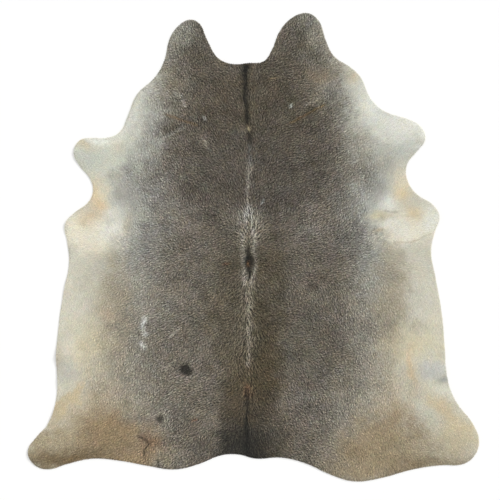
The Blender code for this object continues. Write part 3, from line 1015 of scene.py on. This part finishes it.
def hairFlow(x, y):
    # out of a whorl on the back: forward to the neck and backward to the tail, and outward on both
    dx, dy = x - whorl["across"], y - whorl["along"]
    side = np.tanh(dx / whorl["parting"])
    reach = np.abs(dx) / whorl["spread"]
    fan = whorl["fan"] * np.exp(-(dy / whorl["fanReach"]) ** 2)
    right = side * (whorl["sideways"] * reach * np.exp(1 - reach) + fan)
    forward = np.tanh(dy / whorl["turnOver"])
    for lay in lays:
        mask = softSpot(lay, x, y, crisp=2)
        right = right + (lay.right * whorl["limbs"] - right) * mask
        forward = forward + (lay.forward * whorl["limbs"] - forward) * mask
    swirl = math.radians(coat["swirl"]) * softHills(x, y, coat["swirlCell"], seed=41)
    return np.arctan2(forward, right) + swirl


def streaks(x, y, angle, wide, step, seed):
    # short dashes along the hair, each unlike the ones beside it, mean 0 and spread about 1
    count = int(dashSpan / wide) + spareCells
    lattice = np.random.default_rng(seed).normal(size=(count, count))
    lattice = lattice - besides * sum(np.roll(lattice, turn, axis) for turn in (-1, 1) for axis in (0, 1))
    cos, sin = askew
    total = 0
    for place in (-1, 0, 1):
        u = x + np.cos(angle) * place * step
        v = y + np.sin(angle) * place * step
        i = (cos * u - sin * v + dashSpan / 2) / wide
        j = (sin * u + cos * v + dashSpan / 2) / wide
        total = total + lattice[i.astype(int), j.astype(int)]
    return total / math.sqrt(3)


def lockLength(x, y):
    # 1 on most of the hide
    dx, dy = x - whorl["across"], y - whorl["along"]
    spine = np.exp(-(dx / coat["spineReach"]) ** 2)
    limbs = np.max([softSpot(lay, x, y) for lay in lays], axis=0)
    reachX, reachY = coat["whorlReach"]
    centre = np.exp(-(dx / reachX) ** 2 - (dy / reachY) ** 2)
    return 1 + coat["spineLonger"] * spine - coat["limbsShorter"] * limbs - coat["whorlShorter"] * centre


def uneven(chance, spread, limits, count):
    # numbers around 1
    return np.clip(chance.normal(1, spread, count), *limits)


def placeLocks(chance):
    # roots, tips and directions of all locks, and their corners: two at the root and one at the tip
    step = math.sqrt(hideArea / coat["locks"])
    x, y = staggered(step, step)
    x = x + chance.uniform(-coat["jitter"], coat["jitter"], x.size) * step
    y = y + chance.uniform(-coat["jitter"], coat["jitter"], y.size) * step
    grown = inward(x, y) > coat["edgeGap"]
    x, y = x[grown], y[grown]
    count = len(x)

    angle = hairFlow(x, y) + math.radians(coat["stray"]) * chance.normal(size=count)
    bent = angle + math.radians(coat["bend"]) * chance.normal(size=count)
    length = coat["length"] * lockLength(x, y) * uneven(chance, coat["uneven"], coat["unevenRange"], count)
    width = coat["width"] * uneven(chance, coat["uneven"], coat["unevenRange"], count)
    rise = coat["rise"] * uneven(chance, coat["riseUneven"], coat["riseRange"], count)
    roll = coat["roll"] * chance.normal(size=count)

    # a lock that would reach too far over the edge is shorter
    root = inward(x, y)
    tip = inward(x + np.cos(bent) * length, y + np.sin(bent) * length)
    most = -coat["overhang"] * chance.uniform(*coat["overhangRange"], count)
    outward = np.maximum(root - tip, 0.001 * mm)
    length *= np.where(tip < most, np.clip((root - most) / outward, coat["cutShort"], 1), 1)

    tx, ty = x + np.cos(bent) * length, y + np.sin(bent) * length
    sx, sy = np.sin(angle) * width / 2, -np.cos(angle) * width / 2
    thick = skinFacts["thickness"]
    droop = coat["droop"] * smooth(skinFacts["inset"], -coat["droopEnd"], inward(tx, ty))
    rootZ = lift(x, y) + thick - coat["bury"]
    tipZ = lift(tx, ty) + thick + rise - droop
    corners = np.stack([
        np.column_stack([x + sx, y + sy, rootZ + roll]),
        np.column_stack([tx, ty, tipZ]),
        np.column_stack([x - sx, y - sy, rootZ - roll]),
    ], axis=1)
    return (x, y), (tx, ty), angle, corners


def tintLocks(chance, root, tip, angle):
    # the colours of the corners
    mx, my = (root[0] + tip[0]) / 2, (root[1] + tip[1]) / 2
    count = len(mx)
    streak = streaks(mx, my, angle, coat["streakWide"], coat["streakStep"], seed=51)
    longStreak = streaks(mx, my, angle, coat["longWide"], coat["longStep"], seed=52)
    single = chance.normal(size=count)
    cloud = mottle(mx, my, coat["cloudCell"], seed=61)
    share, dark, pale, over = coatTones(mx, my)
    lean = np.sqrt(share * (1 - share)) * (coat["mixStreak"] * streak + coat["mixSingle"] * single)
    leaning = np.clip(share + coat["mix"] * lean, 0, 1)
    colour = painted(dark + (pale - dark) * leaning[:, None], over)

    # pale hair is all alike, and the brown of the haunches is between the two
    brown = np.max([mask for name, mask in over if name.startswith(("haunch", "drab"))], axis=0)
    paleness = np.interp(share, coat["shares"], coat["fading"]) * (1 - brown) + coat["brownFading"] * brown
    contrast = coat["darkContrast"] + (coat["paleContrast"] - coat["darkContrast"]) * paleness
    more = sum(spot.amount * softSpot(spot, mx, my, crisp=2) for spot in restless)
    tone = contrast * (coat["streak"] * streak + coat["single"] * single + coat["cloud"] * cloud
                       + coat["long"] * more * longStreak)
    tone = tone + coat["brownHills"] * brown * softHills(mx, my, coat["brownCell"], seed=63)
    gain = coat["bright"] * np.clip(1 + tone / 2, *coat["gainRange"]) ** 2

    warmer = softHills(mx, my, coat["tintCell"], seed=71) + coat["warmSingle"] * chance.normal(size=count)
    warmer = warmer + coat["warmCloud"] * mottle(mx, my, coat["warmCloudCell"], seed=73)
    greener = softHills(mx, my, coat["tintCell"], seed=72)
    greener = greener + coat["greenCloud"] * mottle(mx, my, coat["greenCloudCell"], seed=76)
    hues = warmer[:, None] * np.array(coat["warmer"]) + greener[:, None] * np.array(coat["greener"])
    tint = 1 + coat["tint"] * (1 - coat["paleTint"] * paleness)[:, None] * hues
    # darker at the root: partly the hair's own colour, partly painted shade under the locks over it
    rootTone = gain * (coat["darkRoot"] + (coat["paleRoot"] - coat["darkRoot"]) * paleness)
    rootColour = lined(colour, *root) * tint * rootTone[:, None]
    tipColour = lined(colour, *tip) * tint * gain[:, None]
    return np.clip(np.stack([rootColour, tipColour, rootColour], axis=1), 0, coat["brightest"])


def coatMaterial():
    material, tree, shader = newMaterial("short coat", roughness=0.55, specular=0.22)
    shader.inputs["Sheen Weight"].default_value = coat["sheen"]
    shader.inputs["Sheen Roughness"].default_value = coat["sheenRoughness"]
    place = addNode(tree, "TexCoord").outputs["Object"]
    lock = addNode(tree, "Attribute", attribute_name="lockPlace").outputs["Vector"]
    hair = useGroup(tree, strands, {"Lock": lock, **coat["hairs"]})
    grain = useGroup(tree, flecks, {"Place": place, **coat["flecks"]})
    colour = addNode(tree, "Attribute", attribute_name="coatColour").outputs["Color"]
    tone = maths(tree, "MULTIPLY", hair["Tone"], grain["Tone"])
    surfaced(tree, shader, coat["finish"], colour, tone, hair["Height"])
    return material


def makeBand(name, corners, colours, material):
    count = len(corners)
    mesh = bpy.data.meshes.new(name)
    mesh.vertices.add(count * 3)
    mesh.loops.add(count * 3)
    mesh.polygons.add(count)
    mesh.vertices.foreach_set("co", corners.astype(np.float32).ravel())
    mesh.loops.foreach_set("vertex_index", np.arange(count * 3, dtype=np.int32))
    mesh.polygons.foreach_set("loop_start", np.arange(0, count * 3, 3, dtype=np.int32))
    mesh.update(calc_edges=True)
    layer = mesh.attributes.new("coatColour", "FLOAT_COLOR", "POINT")
    rgba = np.concatenate([colours, np.ones((count, 3, 1))], axis=2)
    layer.data.foreach_set("color", rgba.astype(np.float32).ravel())
    # across the lock, along it, and a number of its own
    place = np.empty((count, 3, 3), np.float32)
    place[:, :, 0] = (1, 0, -1)
    place[:, :, 1] = (0, 1, 0)
    place[:, :, 2] = np.random.default_rng(coat["seed"] + 1).random(count)[:, None]
    mesh.attributes.new("lockPlace", "FLOAT_VECTOR", "POINT").data.foreach_set("vector", place.ravel())
    # the map for baked textures: two locks share a square of it, one in each half
    near, far = coat["mapReach"]
    lower = np.array([(near, near), (near, far), (far, near)])
    halves = np.stack([lower, 1 - lower])
    square = np.arange(count) // 2
    cells = math.ceil(math.sqrt(count / 2))
    corner = np.column_stack([square % cells, square // cells])[:, None]
    places = (corner + halves[np.arange(count) % 2]) / cells
    mesh.uv_layers.new(name="OFBake").data.foreach_set("uv", places.astype(np.float32).ravel())
    mesh.materials.append(material)
    band = bpy.data.objects.new(name, mesh)
    bpy.context.scene.collection.objects.link(band)
    return band


def makeCoat():
    chance = np.random.default_rng(coat["seed"])
    root, tip, angle, corners = placeLocks(chance)
    colours = tintLocks(chance, root, tip, angle)
    share = math.ceil(len(corners) / coat["bands"])
    material = coatMaterial()
    bands = []
    for index in range(coat["bands"]):
        part = slice(index * share, (index + 1) * share)
        bands.append(makeBand(f"coat_{index + 1}", corners[part], colours[part], material))
    return bands


coatBands = makeCoat()
print("coat done,", sum(len(band.data.polygons) for band in coatBands), "locks in", len(coatBands), "pieces")


# Floor, light and camera

studio = {
    "floor": (250, 250, 249),
    "floorReach": 30.0,      # to each side of the middle
    "floorDrop": 0.3 * mm,   # it lies this far under the hide
    "fill": 0.44,            # light from all around
    "view": 2.3,             # side of the square that the camera sees, at the floor
    "viewMiddle": (-15.4 * mm, -13.1 * mm),
    "lens": 100,
}

# turn is in degrees from the right towards the neck, height in degrees over the floor
Lamp = namedtuple("Lamp", "name turn height softness power")
lamps = (
    Lamp("overhead", 60, 70, 60, 1.34),
    Lamp("window", 45, 24, 12, 1.7),
)


def makeStudio():
    reach = studio["floorReach"]
    corners = [(x * reach, y * reach, 0) for x, y in ((-1, -1), (1, -1), (1, 1), (-1, 1))]
    mesh = bpy.data.meshes.new("floor")
    mesh.from_pydata(corners, [], [(0, 1, 2, 3)])
    material, tree, shader = newMaterial("pale floor", roughness=0.9, specular=0.1)
    shader.inputs["Base Color"].default_value = opaque(studio["floor"])
    mesh.materials.append(material)
    floor = bpy.data.objects.new("floor", mesh)
    floor.location.z = -studio["floorDrop"]
    bpy.context.scene.collection.objects.link(floor)

    for lamp in lamps:
        light = bpy.data.objects.new(lamp.name, bpy.data.lights.new(lamp.name, "SUN"))
        light.data.energy = lamp.power
        light.data.angle = math.radians(lamp.softness)
        turn, height = math.radians(lamp.turn), math.radians(lamp.height)
        level = math.cos(height)
        toward = Vector((math.cos(turn) * level, math.sin(turn) * level, math.sin(height)))
        light.rotation_euler = toward.to_track_quat("Z", "Y").to_euler()
        bpy.context.scene.collection.objects.link(light)

    world = bpy.data.worlds.new("studio")
    world.use_nodes = True
    background = world.node_tree.nodes["Background"]
    background.inputs["Color"].default_value = (1, 1, 1, 1)
    background.inputs["Strength"].default_value = studio["fill"]
    bpy.context.scene.world = world

    camera = bpy.data.objects.new("camera", bpy.data.cameras.new("camera"))
    camera.data.lens = studio["lens"]
    distance = studio["view"] * studio["lens"] / camera.data.sensor_width
    camera.location = (*studio["viewMiddle"], distance)
    bpy.context.scene.collection.objects.link(camera)
    bpy.context.scene.camera = camera
    bpy.context.scene.view_settings.view_transform = "Standard"


makeStudio()
print("floor, lamps and camera done")

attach(skin, "root")
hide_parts("hide")
for band in coatBands:
    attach(band, "root")

print("everything in place")
